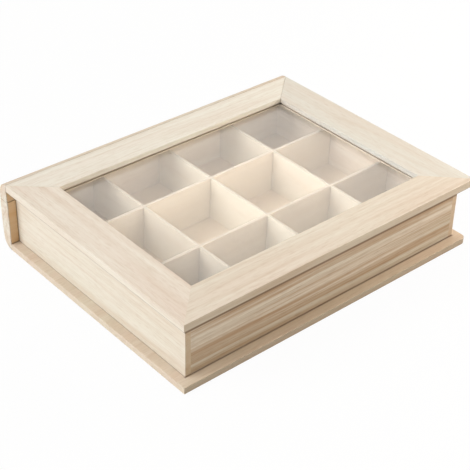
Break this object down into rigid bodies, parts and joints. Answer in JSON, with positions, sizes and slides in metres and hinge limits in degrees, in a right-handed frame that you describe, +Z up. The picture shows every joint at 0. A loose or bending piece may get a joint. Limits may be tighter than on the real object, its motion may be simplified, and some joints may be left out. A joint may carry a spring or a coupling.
{
  "type": "tea bag organizer box",
  "caption": "Book-shaped wooden box with a glazed hinged lid over a grid of compartments that keeps tea bags sorted.",
  "frame": {"origin": "middle of the box's outline at its resting face, on the underside of the base board", "axes": "+X along the spine to the right end, +Y from the front edge towards the hinged spine, +Z up"},
  "size_m": [0.335, 0.268, 0.07],
  "materials": {
    "lid_wood": "bare sanded paulownia, pale and faintly pink",
    "wall_wood": "bare sanded paulownia with straight streaked grain",
    "base_wood": "bare sanded paulownia, a little darker",
    "spine_wood": "bare sanded paulownia, rounded by moulding",
    "divider_wood": "bare thin boards, pale cream",
    "floor_ply": "bare thin plywood",
    "window_glass": "clear sheet, polished",
    "brass": "polished"
  },
  "bodies": {
    "box": {"base_board": "base_wood", "floor_panel": "floor_ply", "spine_board": "spine_wood", "box_front_wall": "wall_wood", "box_right_wall": "wall_wood", "box_back_wall": "wall_wood", "box_left_wall": "wall_wood", "cross_divider_1": "divider_wood", "cross_divider_2": "divider_wood", "cross_divider_3": "divider_wood", "long_divider_1": "divider_wood", "long_divider_2": "divider_wood", "left_hinge_box_leaf": "brass", "left_hinge_pin": "brass", "right_hinge_box_leaf": "brass", "right_hinge_pin": "brass", "hinge_screws_box": "brass"},
    "lid": {"lid_front_rail": "lid_wood", "lid_right_rail": "lid_wood", "lid_back_rail": "lid_wood", "lid_left_rail": "lid_wood", "lid_spine_strip": "spine_wood", "window_pane": "window_glass", "pane_strip_front": "divider_wood", "pane_strip_right": "divider_wood", "pane_strip_back": "divider_wood", "pane_strip_left": "divider_wood", "left_hinge_lid_leaf": "brass", "right_hinge_lid_leaf": "brass", "hinge_screws_lid": "brass"}
  },
  "joints": [
    {"name": "lid_hinge", "type": "hinge", "parent": "box", "child": "lid", "pos_m": [0, 0.13239, 0.051], "axis": [-1, 0, 0], "range_deg": [0, 180]}
  ]
}
